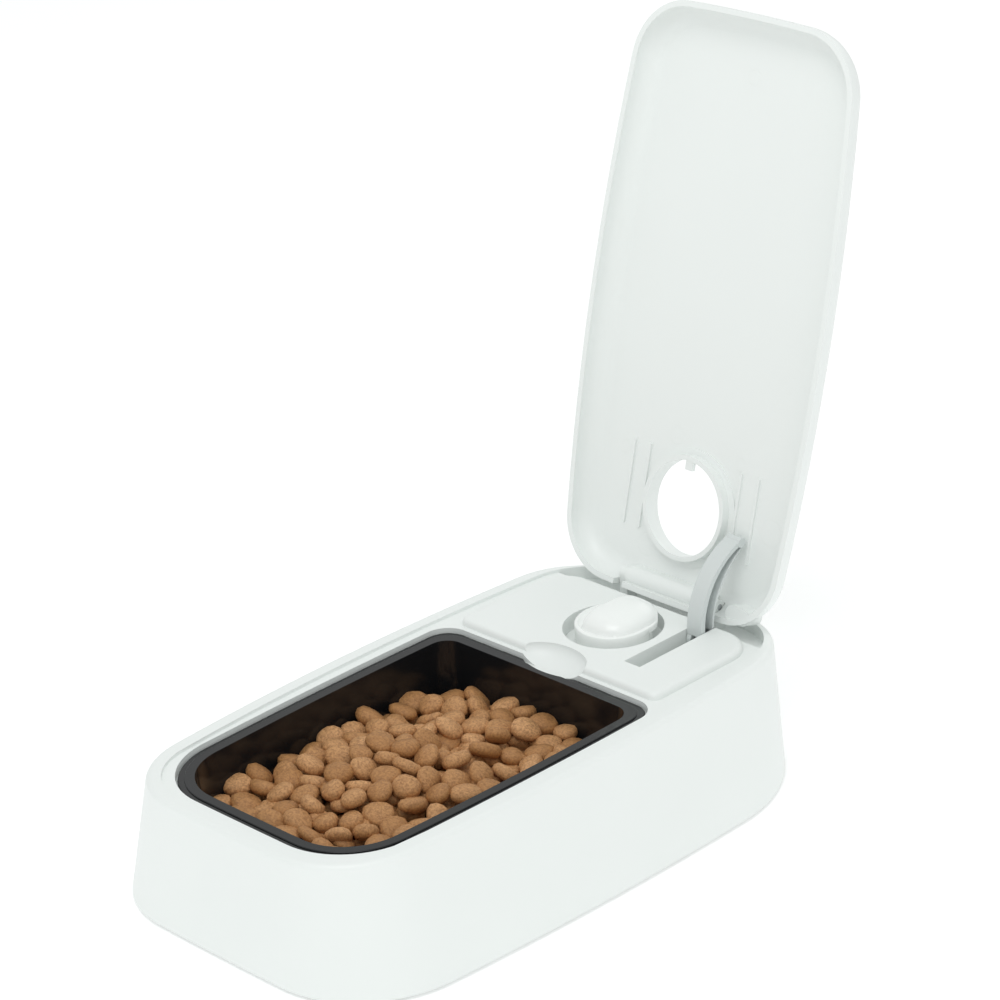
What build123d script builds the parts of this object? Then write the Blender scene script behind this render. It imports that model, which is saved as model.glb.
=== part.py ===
"""Automatic pet feeder: one-meal bowl under a lid that a timed, sprung arm throws open.

Frame: +Z up, +Y towards the hinge, +X to the right seen from the front. Lengths are in millimetres.
The origin is the centre of the footprint of the whole feeder with its lid open, on the surface it stands on.
The base's own plan centre lies BASE_Y along Y from there, and every plan position below is taken from it.
The lid is modelled where it rests, open against its stop.
"""

from build123d import *
from math import acos, cos, pi, radians, sin, tan
import os

os.makedirs("parts", exist_ok=True)

# ---------------------------------------------------------------- driving dimensions
BASE_Y = -25.1  # plan centre of the base, from the origin
RUN = 0.05  # radial clearance of a shaft that turns in its hole
FIT = 0.3  # gap between pieces that only lie beside each other

# housing
FOOT_DROP = 1.5  # how far the rubber feet stand below the wall
WALL_TOP = 49.5
WALL = 2.4
BASE_WIDTH = 160.0
BASE_LENGTH = 250.0
TOP_WIDTH = 132.6
TOP_LENGTH = 238.4
TOP_Y = 1.0
FRONT_CORNER = (44.0, 34.0)  # plan radius at the wall's foot and at its top
REAR_CORNER = (64.0, 32.0)
SIDE_BOW = (5.8, 7.0)  # swell of the long sides, at the foot and at the top
END_BOW = (1.1, 0.7)
FOOT_TAPER = 3.4  # the foot is a little narrower in front
SHOULDER_ROUND = 2.4
CEILING = 45.4  # underside of the housing's top

# lid seat, deck and hinge trough
SEAT_Z = 48.2
SEAT_WIDTH = 121.2
SEAT_LENGTH = 230.6
SEAT_Y = 2.1
SEAT_TAPER = 1.4
SEAT_CORNERS = (27.0, 25.0)
DECK_Z = 51.0
DECK_FRONT = 46.6
DECK_REAR = 103.3
DECK_WIDTH = 104.0
DECK_FRONT_CORNER = 4.0
DECK_REAR_CORNER = 14.0
DECK_ROUND = 2.4
DECK_SKIN = 2.5
HOLLOW_FRONT = 58.1  # the deck is hollow between these
HOLLOW_REAR = 100.8
TROUGH_Z = 44.4
TROUGH_REAR = 117.3

# bowl
RIM_Z = 47.2
RIM_THICK = 2.2
RIM_BAND = 6.2
RIM_STEP = 0.5
BOWL_FRONT_WIDTH = 109.3
BOWL_REAR_WIDTH = 113.6
BOWL_LENGTH = 152.4
BOWL_Y = -32.2
BOWL_FLOOR = 12.0
BOWL_WALL = 1.8
BOWL_DRAFT = 5.0
BOWL_CORNERS = (30.0, 9.7)  # plan radii in front and at the rear
BOWL_BOWS = (1.4, 0.4)
BOWL_ROUND = 6.0  # inside, between floor and wall
LEDGE_DEEP = 4.0
LEDGE_WIDE = 2.6
SCOOP_Y = 45.0
SCOOP_HALF_X = 16.0
SCOOP_HALF_Y = 10.5
SCOOP_DEPTH = 7.0

# lid, in its own frame: x across, y rearwards from the hinge when closed, height above its rim
LID_OPEN = 106.0
HINGE_Y = 111.3
HINGE_Z = 53.85
RIM_DROP = 5.15  # the rim's plane lies this far below the hinge axis when closed
LID_REAR = 4.7
LID_LENGTH = 228.0
LID_FRONT_WIDTH = 118.0
LID_REAR_WIDTH = 118.4
LID_HEIGHT = 11.0
LID_EDGE = 9.6
LID_WALL = 2.2
LID_CORNERS = (26.0, 24.0)
LID_BOWS = (6.4, 1.5)
RIB_PLACES = (-32.2, -24.0, 23.4, 32.2)
RIB_Y = -35.2
RIB_LENGTH = 34.0
RIB_THICK = 1.1
BOSS_PLACE = (37.6, -0.4)
BOSS_LENGTH = 12.0
BOSS_WIDTH = 6.6
HOLE_BACK = 32.4  # hole's centre, forward of the hinge
HOLE_RADIUS = 18.7
COLLAR_WALL = 1.9
COLLAR_FACE = 4.4  # the collar ends this far above the rim's plane
KNUCKLE_HALF = 21.0
KNUCKLE_RADIUS = 3.9
PIN_RADIUS = 1.25
EAR_RADIUS = 2.7
EAR_THICK = 4.0
EAR_SLOT_END = 12.0

# lift arm
ARM_X = 27.8
ARM_WIDTH = 7.2
SLOT_HALF = 4.0
SLOT_FRONT = 60.7
SLOT_REAR = 102.0
SLOT_WALL = 1.6
SLOT_FLOOR = 35.2
SLOT_BEND = 76.0  # the floor slopes down from the front to here
SLOT_STEP = 46.5  # height at which the front end starts to slope
ARM_PIVOT_Y = 97.6
ARM_PIVOT_Z = 46.6
ARM_CHORD = 39.5
ARM_UP = 57.5  # direction from the pivot to the tip at rest, above the rearward horizontal
ARM_SAG = 6.5
ARM_PIN_RADIUS = 1.5
ARM_EYE = 4.2
ARM_HALF = 3.4  # half of the arm's depth at its middle
ARM_TIP_BELLY = 1.9
ARM_TIP_BACK = 1.8
POCKET_START = 3.0  # distance of the pocket from the pivot
POCKET_END = 2.0  # and from the tip
WEB = 2.0

# timer
DIAL_Y = HINGE_Y - HOLE_BACK
WELL_RADIUS = 19.5
WELL_Z = 44.6
KNOB_RADIUS = 14.8
KNOB_EDGE = 53.0
KNOB_TOP = 59.2
GRIP_LENGTH = 29.4
GRIP_WIDTH = 16.4
GRIP_SHIFT = 2.6  # the grip reaches further towards the hinge than away from it
GRIP_ROUND = 6.6
SPINDLE_TOP = 54.0
STEP_RADIUS = 1.5  # reduced foot of the spindle
SPINDLE_RADIUS = 2.5
CASE_BOTTOM = 21.0
CASE_SPLIT = 29.0
CASE_TOP = 37.0
CASE_LEFT = -34.0
CASE_RIGHT = 21.0
CASE_FRONT = 58.5
CASE_REAR = 102.0
CASE_WALL = 1.6
MODULE = 0.5
WHEEL_TEETH = 48
PINION_TEETH = 12
REDUCTION_TEETH = 40
ROTOR_TEETH = 10
REDUCTION_TURN = 205.0  # direction of the reduction arbor from the dial's axis
ROTOR_TURN = 140.0  # direction of the rotor from the reduction arbor

# battery
CELL_RADIUS = 7.1
CELL_LENGTH = 49.5
CELL_X = -10.0
CELL_Y = 80.0
CELL_Z = 11.9
BAY_HALF_X = 28.4
BAY_HALF_Y = 8.4
BAY_ROOF = 20.8
DOOR_THICK = 1.8

# screws and feet
COVER_THICK = 2.2
COVER_SCREWS = [(-57, -70), (57, -70), (-58, 84), (58, 84)]
POST_RADIUS = 4.0
POST_FOOT = 4.6
POST_BORE = 1.25
POST_BORE_DEEP = 14.0
COVER_HOLE = 1.6
COVER_SINK = 2.9
FOOT_PLACES = [(-50, -98), (50, -98), (-54, 100), (54, 100)]
FOOT_RADIUS = 6.0
FOOT_SOCKET = 0.9
CASE_SCREWS = [(CASE_LEFT + 5, CASE_FRONT + 5), (CASE_LEFT + 5, CASE_REAR - 5)]
CASE_POST = 3.0
CASE_POST_BORE = 1.0
CASE_TUBE = 3.2
CASE_HOLE = 1.3


def level(height):
    """Horizontal sketch plane over the base's centre."""
    return Plane(origin=(0, BASE_Y, height))


def side(x):
    """Upright sketch plane across X: its first axis runs rearwards and its second upwards."""
    return Plane(origin=(x, BASE_Y, 0), x_dir=(0, 1, 0), z_dir=(1, 0, 0))


LID_NORMAL = Vector(0, sin(radians(LID_OPEN)), cos(radians(LID_OPEN)))
HINGE = Vector(0, BASE_Y + HINGE_Y, HINGE_Z)


def lid_level(height):
    """Sketch plane parallel to the lid's rim, at a height above it, turned open with the lid."""
    return Plane(origin=HINGE + LID_NORMAL * (height - RIM_DROP), x_dir=(1, 0, 0), z_dir=LID_NORMAL)


def lid_side(x):
    """Sketch plane across the lid: first axis rearwards along the lid, second its height above the rim."""
    back = LID_NORMAL.cross(Vector(1, 0, 0))
    return Plane(origin=HINGE - LID_NORMAL * RIM_DROP + Vector(x, 0, 0), x_dir=back, z_dir=(1, 0, 0))


def finish(piece, name):
    """Label a finished piece and write it under its node's name."""
    piece.part.label = name
    export_step(piece.part, f"parts/{name}.step")
    print(name, len(piece.part.solids()), round(piece.part.volume, 1))


def between(pair, part_way):
    """Value part of the way from the first of a pair to its second."""
    return pair[0] + (pair[1] - pair[0]) * part_way


def bowed_outline(shape, front_width, rear_width, length, centre_y, bows, radii):
    """Closed outline with four bowed sides and rounded corners, drawn in the open sketch `shape`.

    bows are how far the long sides and the ends swell; radii are those of the front and rear corners.
    Widths and length are overall, so the swell is inside them.
    """
    side_bow, end_bow = bows
    front = front_width / 2 - side_bow
    rear = rear_width / 2 - side_bow
    y_front = centre_y - length / 2 + end_bow
    y_rear = centre_y + length / 2 - end_bow
    middle = (front + rear) / 2 + side_bow
    with BuildLine() as border:
        ThreePointArc((-front, y_front), (0, y_front - end_bow), (front, y_front))
        ThreePointArc((front, y_front), (middle, centre_y), (rear, y_rear))
        ThreePointArc((rear, y_rear), (0, y_rear + end_bow), (-rear, y_rear))
        ThreePointArc((-rear, y_rear), (-middle, centre_y), (-front, y_front))
    make_face(border.edges())
    fillet(shape.vertices().group_by(Axis.Y)[0], radii[0])
    fillet(shape.vertices().group_by(Axis.Y)[-1], radii[1])


def base_outline(shape, part_way, inset):
    """The wall's outline part of the way up, from 0 at its foot to 1 at its top, drawn in by an inset."""
    width = between((BASE_WIDTH, TOP_WIDTH), part_way) - 2 * inset
    length = between((BASE_LENGTH, TOP_LENGTH), part_way) - 2 * inset
    taper = between((FOOT_TAPER, 0), part_way)
    radii = (between(FRONT_CORNER, part_way) - inset, between(REAR_CORNER, part_way) - inset)
    bows = (between(SIDE_BOW, part_way), between(END_BOW, part_way))
    bowed_outline(shape, width - taper, width + taper, length, TOP_Y * part_way, bows, radii)


def lid_outline(shape, inset):
    """The lid's rim drawn in by an inset, in the lid's own plane."""
    centre = LID_REAR - LID_LENGTH / 2
    widths = (LID_FRONT_WIDTH - 2 * inset, LID_REAR_WIDTH - 2 * inset)
    radii = [corner - inset for corner in LID_CORNERS]
    bowed_outline(shape, *widths, LID_LENGTH - 2 * inset, centre, LID_BOWS, radii)


def seat_outline(shape):
    """The recess that the closed lid stands in."""
    front_width = SEAT_WIDTH - SEAT_TAPER
    bowed_outline(shape, front_width, SEAT_WIDTH, SEAT_LENGTH, SEAT_Y, LID_BOWS, SEAT_CORNERS)


def bowl_outline(shape, inset):
    """The bowl's rim drawn in by an inset: wide curves in front, tight ones at the rear."""
    widths = (BOWL_FRONT_WIDTH - 2 * inset, BOWL_REAR_WIDTH - 2 * inset)
    radii = (max(BOWL_CORNERS[0] - inset, 12), max(BOWL_CORNERS[1] - inset * 0.35, 5))
    bowed_outline(shape, *widths, BOWL_LENGTH - 2 * inset, BOWL_Y, BOWL_BOWS, radii)


def gear_outline(teeth, turn, backlash=0.10):
    """Involute gear drawn in the open sketch: a root disc and one tooth repeated round it."""
    pitch = MODULE * teeth / 2
    root = pitch - 1.3 * MODULE
    tip = pitch + 0.82 * MODULE
    base = pitch * cos(radians(20))
    half = pi / (2 * teeth) - backlash / (2 * pitch)

    def flank(radius):
        """Half the angle that the tooth fills at a radius."""
        slope = acos(min(base / radius, 1))
        return half + (tan(radians(20)) - radians(20)) - (tan(slope) - slope)

    radii = [root - 0.05, max(root, base), (pitch + base) / 2, pitch, (pitch + tip) / 2, tip]
    right = [(r * cos(-flank(r)), r * sin(-flank(r))) for r in radii]
    left = [(x, -y) for x, y in reversed(right)]
    Circle(root)
    with PolarLocations(0, teeth, start_angle=turn):
        Polygon(*right, *left, align=None)


# ---------------------------------------------------------------- housing: wall, lid seat, deck
with BuildPart() as housing_cavity:
    with BuildSketch(level(FOOT_DROP)) as cavity_foot:
        base_outline(cavity_foot, 0, WALL)
    with BuildSketch(level(CEILING)) as cavity_head:
        base_outline(cavity_head, (CEILING - FOOT_DROP) / (WALL_TOP - FOOT_DROP), WALL)
    loft()
    # the deck is hollow to within a wall of its top
    with BuildSketch(level(CEILING)):
        with Locations((0, (HOLLOW_FRONT + HOLLOW_REAR) / 2)):
            RectangleRounded(DECK_WIDTH - 8, HOLLOW_REAR - HOLLOW_FRONT, 6)
    extrude(amount=DECK_Z - DECK_SKIN - CEILING)

with BuildPart() as scoop:
    # thumb scoop: half an ellipsoid sunk in the deck's front edge
    with BuildSketch(Plane.XZ):
        Ellipse(SCOOP_HALF_X, SCOOP_DEPTH)
        with Locations((0, -SCOOP_DEPTH)):
            Rectangle(2 * SCOOP_HALF_X, 2 * SCOOP_DEPTH, mode=Mode.INTERSECT)
        with Locations((SCOOP_HALF_X, 0)):
            Rectangle(2 * SCOOP_HALF_X, 4 * SCOOP_DEPTH, mode=Mode.INTERSECT)
    revolve(axis=Axis.Z)
scoop_place = Location((0, BASE_Y + SCOOP_Y, DECK_Z))
scoop_tool = scale(scoop.part, by=(1, SCOOP_HALF_Y / SCOOP_HALF_X, 1)).moved(scoop_place)
scoop_shell = scale(scoop.part, by=(1.18, (SCOOP_HALF_Y + 2.5) / SCOOP_HALF_X, 1.36)).moved(scoop_place)

with BuildPart() as housing:
    with BuildSketch(level(FOOT_DROP)) as foot_line:
        base_outline(foot_line, 0, 0)
    with BuildSketch(level(WALL_TOP)) as top_line:
        base_outline(top_line, 1, 0)
    loft()
    fillet(housing.faces().sort_by(Axis.Z)[-1].edges(), SHOULDER_ROUND)
    # seat that the closed lid stands in
    with BuildSketch(level(SEAT_Z)) as seat:
        seat_outline(seat)
    extrude(amount=WALL_TOP, mode=Mode.SUBTRACT)
    add(housing_cavity.part, mode=Mode.SUBTRACT)
    # collar under the top that carries the bowl's rim
    with BuildSketch(level(CEILING - LEDGE_DEEP)) as rim_ledge:
        bowl_outline(rim_ledge, -LEDGE_WIDE)
    extrude(amount=LEDGE_DEEP)
    with BuildSketch(level(RIM_Z - RIM_THICK - 0.1)) as rim_recess:
        bowl_outline(rim_recess, -0.7)
    extrude(amount=10, mode=Mode.SUBTRACT)
    with BuildSketch(level(FOOT_DROP)) as bowl_hole:
        bowl_outline(bowl_hole, RIM_BAND - 2.2)
    extrude(amount=60, mode=Mode.SUBTRACT)
    # thick floor of the hinge trough, then the deck's raised plateau
    with BuildSketch(level(TROUGH_Z - 2)) as trough_floor:
        base_outline(trough_floor, (SEAT_Z - FOOT_DROP) / (WALL_TOP - FOOT_DROP), 1)
        with Locations((0, (DECK_REAR + TROUGH_REAR) / 2)):
            Rectangle(BASE_WIDTH, TROUGH_REAR - DECK_REAR + 6, mode=Mode.INTERSECT)
    extrude(amount=4)
    with BuildSketch(level(SEAT_Z - 0.2)) as plateau:
        with Locations((0, (DECK_FRONT + DECK_REAR) / 2)):
            RectangleRounded(DECK_WIDTH, DECK_REAR - DECK_FRONT, DECK_FRONT_CORNER)
        with Locations((0, DECK_FRONT)):
            deck_reach = 2 * (DECK_REAR - DECK_FRONT)
            RectangleRounded(DECK_WIDTH, deck_reach, DECK_REAR_CORNER, mode=Mode.INTERSECT)
    extrude(amount=DECK_Z - SEAT_Z + 0.2)
    fillet(housing.faces().sort_by(Axis.Z)[-1].edges(), DECK_ROUND)
    with BuildSketch(level(TROUGH_Z)) as trough:
        seat_outline(trough)
        with Locations((0, DECK_REAR + 20)):
            Rectangle(BASE_WIDTH, 40, mode=Mode.INTERSECT)
    extrude(amount=20, mode=Mode.SUBTRACT)
    # thumb scoop, with material kept under it
    with BuildSketch(level(CEILING - 3.5)) as scoop_floor:
        with Locations((0, DECK_FRONT + 6.2)):
            Rectangle(2 * SCOOP_HALF_X + 8, 13)
    extrude(amount=5)
    add(scoop_tool, mode=Mode.SUBTRACT)
    # walls of the arm's slot, down to its sloping floor
    with BuildSketch(side(ARM_X - SLOT_HALF - SLOT_WALL)):
        Polygon(
            (SLOT_FRONT - SLOT_WALL, DECK_Z - 2), (SLOT_FRONT - SLOT_WALL, SLOT_STEP - 2.5),
            (SLOT_BEND, SLOT_FLOOR - 1.7), (SLOT_REAR + 1.3, SLOT_FLOOR - 1.7),
            (SLOT_REAR + 1.3, DECK_Z - 2), align=None,
        )
    extrude(amount=2 * (SLOT_HALF + SLOT_WALL))
    with BuildSketch(side(ARM_X - SLOT_HALF)):
        Polygon(
            (SLOT_FRONT - 1.2, DECK_Z + 1), (SLOT_FRONT, DECK_Z - 1.2), (SLOT_FRONT, SLOT_STEP),
            (SLOT_BEND, SLOT_FLOOR), (SLOT_REAR, SLOT_FLOOR), (SLOT_REAR, DECK_Z + 1), align=None,
        )
    extrude(amount=2 * SLOT_HALF, mode=Mode.SUBTRACT)
    # the arm's pin is held in both walls of the slot
    with BuildSketch(side(ARM_X - SLOT_HALF - SLOT_WALL)):
        with Locations((ARM_PIVOT_Y, ARM_PIVOT_Z)):
            Circle(ARM_PIN_RADIUS)
    extrude(amount=2 * (SLOT_HALF + SLOT_WALL), mode=Mode.SUBTRACT)
    # dial well with its floor and the spindle's hole
    with BuildSketch(level(WELL_Z - 2.4)):
        with Locations((0, DIAL_Y)):
            Circle(WELL_RADIUS + 1.8)
    extrude(amount=DECK_Z - 2 - WELL_Z + 2.4)
    with BuildSketch(level(WELL_Z)):
        with Locations((0, DIAL_Y)):
            Circle(WELL_RADIUS)
    extrude(amount=20, mode=Mode.SUBTRACT)
    with BuildSketch(level(WELL_Z - 3)):
        with Locations((0, DIAL_Y)):
            Circle(SPINDLE_RADIUS + RUN)
    extrude(amount=4, mode=Mode.SUBTRACT)
    # two ears in the trough carry the hinge pin
    for ear_x in (-KNUCKLE_HALF - FIT - EAR_THICK, KNUCKLE_HALF + FIT):
        with BuildSketch(side(ear_x)):
            with Locations((HINGE_Y, HINGE_Z)):
                Circle(EAR_RADIUS)
            with Locations((HINGE_Y, (HINGE_Z + TROUGH_Z) / 2)):
                Rectangle(2 * EAR_RADIUS, HINGE_Z - TROUGH_Z + 0.6)
            with Locations((HINGE_Y, HINGE_Z)):
                Circle(PIN_RADIUS, mode=Mode.SUBTRACT)
        extrude(amount=EAR_THICK)
    # screw posts that the bottom cover and the timer hang from
    with BuildSketch(level(POST_FOOT)):
        with Locations(*COVER_SCREWS):
            Circle(POST_RADIUS)
    extrude(amount=CEILING - POST_FOOT - 0.6)
    with BuildSketch(level(POST_FOOT)):
        with Locations(*COVER_SCREWS):
            Circle(POST_BORE)
    extrude(amount=POST_BORE_DEEP, mode=Mode.SUBTRACT)
    with BuildSketch(level(CASE_TOP + 0.1)):
        with Locations(*CASE_SCREWS):
            Circle(CASE_POST)
    extrude(amount=DECK_Z - 1.5 - CASE_TOP)
    with BuildSketch(level(CASE_TOP + 0.1)):
        with Locations(*CASE_SCREWS):
            Circle(CASE_POST_BORE)
    extrude(amount=7, mode=Mode.SUBTRACT)
finish(housing, "housing")

# ---------------------------------------------------------------- bottom cover, its feet and screws
with BuildPart() as bottom_cover:
    with BuildSketch(level(FOOT_DROP)) as cover_line:
        base_outline(cover_line, 0, WALL + FIT)
    with BuildSketch(level(FOOT_DROP + COVER_THICK)) as cover_head:
        base_outline(cover_head, COVER_THICK / (WALL_TOP - FOOT_DROP), WALL + FIT)
    loft()
    # battery bay: a box standing on the cover, open below
    with BuildSketch(level(FOOT_DROP)):
        with Locations((CELL_X, CELL_Y)):
            Rectangle(2 * BAY_HALF_X + 3, 2 * BAY_HALF_Y + 3)
    extrude(amount=BAY_ROOF - FOOT_DROP)
    with BuildSketch(level(FOOT_DROP)):
        with Locations((CELL_X, CELL_Y)):
            Rectangle(2 * BAY_HALF_X, 2 * BAY_HALF_Y)
    extrude(amount=BAY_ROOF - FOOT_DROP - 1.5, mode=Mode.SUBTRACT)
    # the door's shallow seat round the bay
    with BuildSketch(level(FOOT_DROP)):
        with Locations((CELL_X, CELL_Y)):
            Rectangle(2 * BAY_HALF_X + 5, 2 * BAY_HALF_Y + 5)
    extrude(amount=DOOR_THICK + 0.1, mode=Mode.SUBTRACT)
    # posts up to the housing's screw posts, bored and sunk for the screw heads
    with BuildSketch(level(FOOT_DROP)):
        with Locations(*COVER_SCREWS):
            Circle(POST_RADIUS)
    extrude(amount=4.5 - FOOT_DROP)
    with BuildSketch(level(FOOT_DROP)):
        with Locations(*COVER_SCREWS):
            Circle(COVER_HOLE)
    extrude(amount=5, mode=Mode.SUBTRACT)
    with BuildSketch(level(FOOT_DROP)):
        with Locations(*COVER_SCREWS):
            Circle(COVER_SINK)
    extrude(amount=1.5, mode=Mode.SUBTRACT)
    # sockets for the feet
    with BuildSketch(level(FOOT_DROP)):
        with Locations(*FOOT_PLACES):
            Circle(FOOT_RADIUS + 0.1)
    extrude(amount=FOOT_SOCKET, mode=Mode.SUBTRACT)
finish(bottom_cover, "bottom_cover")

with BuildPart() as rubber_feet:
    with BuildSketch(level(0)):
        with Locations(*FOOT_PLACES):
            Circle(FOOT_RADIUS)
    extrude(amount=FOOT_DROP + FOOT_SOCKET - 0.05)
    fillet(rubber_feet.faces().sort_by(Axis.Z)[0:4].edges(), 0.5)
finish(rubber_feet, "rubber_feet")


def screws(places, seat, head_radius, shank_radius, length):
    """Cross-head screws standing upwards from their seats, as one group of separate solids."""
    with BuildPart() as group:
        with BuildSketch(level(seat)):
            with Locations(*places):
                Circle(head_radius)
        extrude(amount=1.4)
        with BuildSketch(level(seat)):
            with Locations(*places):
                Circle(shank_radius)
        extrude(amount=length)
        with BuildSketch(level(seat)):
            with Locations(*places):
                Rectangle(head_radius * 1.2, 0.5)
                Rectangle(0.5, head_radius * 1.2)
        extrude(amount=0.8, mode=Mode.SUBTRACT)
    return group


cover_screws = screws(COVER_SCREWS, FOOT_DROP + 0.05, 2.7, 1.24, 12)
finish(cover_screws, "cover_screws")

# ---------------------------------------------------------------- food bowl
with BuildPart() as bowl_inside:
    with BuildSketch(level(BOWL_FLOOR + BOWL_WALL)) as inside_floor:
        bowl_outline(inside_floor, RIM_BAND + BOWL_DRAFT)
    with BuildSketch(level(RIM_Z + 0.01)) as inside_mouth:
        bowl_outline(inside_mouth, RIM_BAND)
    loft()
    fillet(bowl_inside.faces().sort_by(Axis.Z)[0].edges(), BOWL_ROUND)

with BuildPart() as food_bowl:
    with BuildSketch(level(BOWL_FLOOR)) as outside_floor:
        bowl_outline(outside_floor, RIM_BAND + BOWL_DRAFT - BOWL_WALL + 0.2)
    with BuildSketch(level(RIM_Z - RIM_THICK + 0.5)) as outside_neck:
        bowl_outline(outside_neck, RIM_BAND - BOWL_WALL + 0.3)
    loft()
    fillet(food_bowl.faces().sort_by(Axis.Z)[0].edges(), BOWL_ROUND + 0.5)
    # rim: a flat outer band and a slightly higher inner bead
    with BuildSketch(level(RIM_Z - RIM_THICK)) as rim:
        bowl_outline(rim, 0)
    extrude(amount=RIM_THICK - RIM_STEP)
    fillet(food_bowl.faces().sort_by(Axis.Z)[-1].edges(), 0.7)
    with BuildSketch(level(RIM_Z - RIM_THICK)) as rim_bead:
        bowl_outline(rim_bead, 2.4)
    extrude(amount=RIM_THICK)
    fillet(food_bowl.faces().sort_by(Axis.Z)[-1].edges(), 0.4)
    # the thumb scoop notches the rear of the rim
    with BuildSketch(level(RIM_Z - RIM_THICK)):
        with Locations((0, SCOOP_Y + 3.6)):
            Ellipse(SCOOP_HALF_X + 0.8, SCOOP_HALF_Y - 2)
    extrude(amount=10, mode=Mode.SUBTRACT)
    add(bowl_inside.part, mode=Mode.SUBTRACT)
finish(food_bowl, "food_bowl")

# ---------------------------------------------------------------- lid and its hinge pin
with BuildPart() as lid_inside:
    with BuildSketch(lid_level(-1)) as inside_rim:
        lid_outline(inside_rim, LID_WALL)
    extrude(amount=LID_HEIGHT - LID_WALL + 1)
    fillet(lid_inside.faces().sort_by(Axis(HINGE, LID_NORMAL))[-1].edges(), LID_EDGE - LID_WALL)
inside_tool = lid_inside.part

with BuildPart() as lid:
    with BuildSketch(lid_level(0)) as rim_line:
        lid_outline(rim_line, 0)
    extrude(amount=LID_HEIGHT)
    fillet(lid.faces().sort_by(Axis(HINGE, LID_NORMAL))[-1].edges(), LID_EDGE)
    add(inside_tool, mode=Mode.SUBTRACT)
    # collar round the hole that the timer's knob stands in
    with BuildSketch(lid_level(COLLAR_FACE)):
        with Locations((0, -HOLE_BACK)):
            Circle(HOLE_RADIUS + COLLAR_WALL)
    extrude(amount=LID_HEIGHT - LID_WALL - COLLAR_FACE + 0.1)
    with BuildSketch(lid_level(LID_HEIGHT - LID_WALL - 0.7)):
        with Locations((0, -HOLE_BACK)):
            Circle(HOLE_RADIUS + COLLAR_WALL + 2.6)
    extrude(amount=0.8)
    with BuildSketch(lid_level(COLLAR_FACE - 1)):
        with Locations((0, -HOLE_BACK)):
            Circle(HOLE_RADIUS)
    extrude(amount=LID_HEIGHT, mode=Mode.SUBTRACT)
    # small lug in the front of the hole
    with BuildSketch(lid_level(COLLAR_FACE + 0.2)):
        with Locations((0, -HOLE_BACK - HOLE_RADIUS + 1.2)):
            Rectangle(3.6, 5)
    extrude(amount=1.8)
    # two pairs of low ribs beside the hole; the arm's tip slides between the right-hand pair
    with BuildSketch(lid_level(LID_HEIGHT - LID_WALL - 0.9)):
        for rib_x in RIB_PLACES:
            with Locations((rib_x, RIB_Y)):
                SlotOverall(RIB_LENGTH, RIB_THICK, rotation=90)
    extrude(amount=1.0)
    # step across the rear of the ceiling, and the tongue that covers the deck's rear edge
    with BuildSketch(lid_level(LID_HEIGHT - LID_WALL - 1.1)):
        with Locations((0, -0.6)):
            Rectangle(2 * KNUCKLE_HALF + 2, 5.4)
    extrude(amount=1.2)
    # knuckle round the pin, webbed to the ceiling
    with BuildSketch(lid_side(-KNUCKLE_HALF)):
        with Locations((0, RIM_DROP)):
            Circle(KNUCKLE_RADIUS)
        Polygon(
            (-KNUCKLE_RADIUS, RIM_DROP), (KNUCKLE_RADIUS - 1.6, RIM_DROP),
            (KNUCKLE_RADIUS - 1.6, LID_HEIGHT - 1.5), (-KNUCKLE_RADIUS, LID_HEIGHT - 1.5), align=None,
        )
    extrude(amount=2 * KNUCKLE_HALF)
    with BuildSketch(lid_side(-KNUCKLE_HALF - 1)):
        with Locations((0, RIM_DROP)):
            Circle(PIN_RADIUS + RUN)
    extrude(amount=2 * KNUCKLE_HALF + 2, mode=Mode.SUBTRACT)
    # slots through the rear edge let the housing's ears in as the lid swings up
    for slot_x in (-KNUCKLE_HALF - EAR_THICK - 2 * FIT, KNUCKLE_HALF):
        with BuildSketch(lid_side(slot_x)):
            with Locations((0, RIM_DROP)):
                Circle(EAR_RADIUS + FIT)
                Rectangle(14, 2 * (EAR_RADIUS + FIT), rotation=LID_OPEN - 90, align=(Align.MIN, Align.CENTER))
            Polygon(
                (-EAR_RADIUS - FIT, RIM_DROP), (EAR_SLOT_END, RIM_DROP), (EAR_SLOT_END, -2),
                (-EAR_RADIUS - FIT, -2), align=None,
            )
        extrude(amount=EAR_THICK + 2 * FIT, mode=Mode.SUBTRACT)
    # rounded boss inside the right rear corner, past the arm
    with BuildSketch(lid_level(1.2)):
        with Locations(BOSS_PLACE):
            SlotOverall(BOSS_LENGTH, BOSS_WIDTH)
    extrude(amount=LID_HEIGHT - LID_WALL - 1.1)
finish(lid, "lid")

with BuildPart() as hinge_pin:
    with BuildSketch(side(-KNUCKLE_HALF - FIT - EAR_THICK)):
        with Locations((HINGE_Y, HINGE_Z)):
            Circle(PIN_RADIUS)
    extrude(amount=2 * (KNUCKLE_HALF + FIT + EAR_THICK))
finish(hinge_pin, "hinge_pin")

# ---------------------------------------------------------------- lift arm, its pin and spring

def arm_point(along, out):
    """Point of the arm's profile: distance from the pivot towards the tip, and out on its hollow side."""
    up = radians(ARM_UP)
    return (
        ARM_PIVOT_Y + along * cos(up) + out * sin(up),
        ARM_PIVOT_Z + along * sin(up) - out * cos(up),
    )


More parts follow.
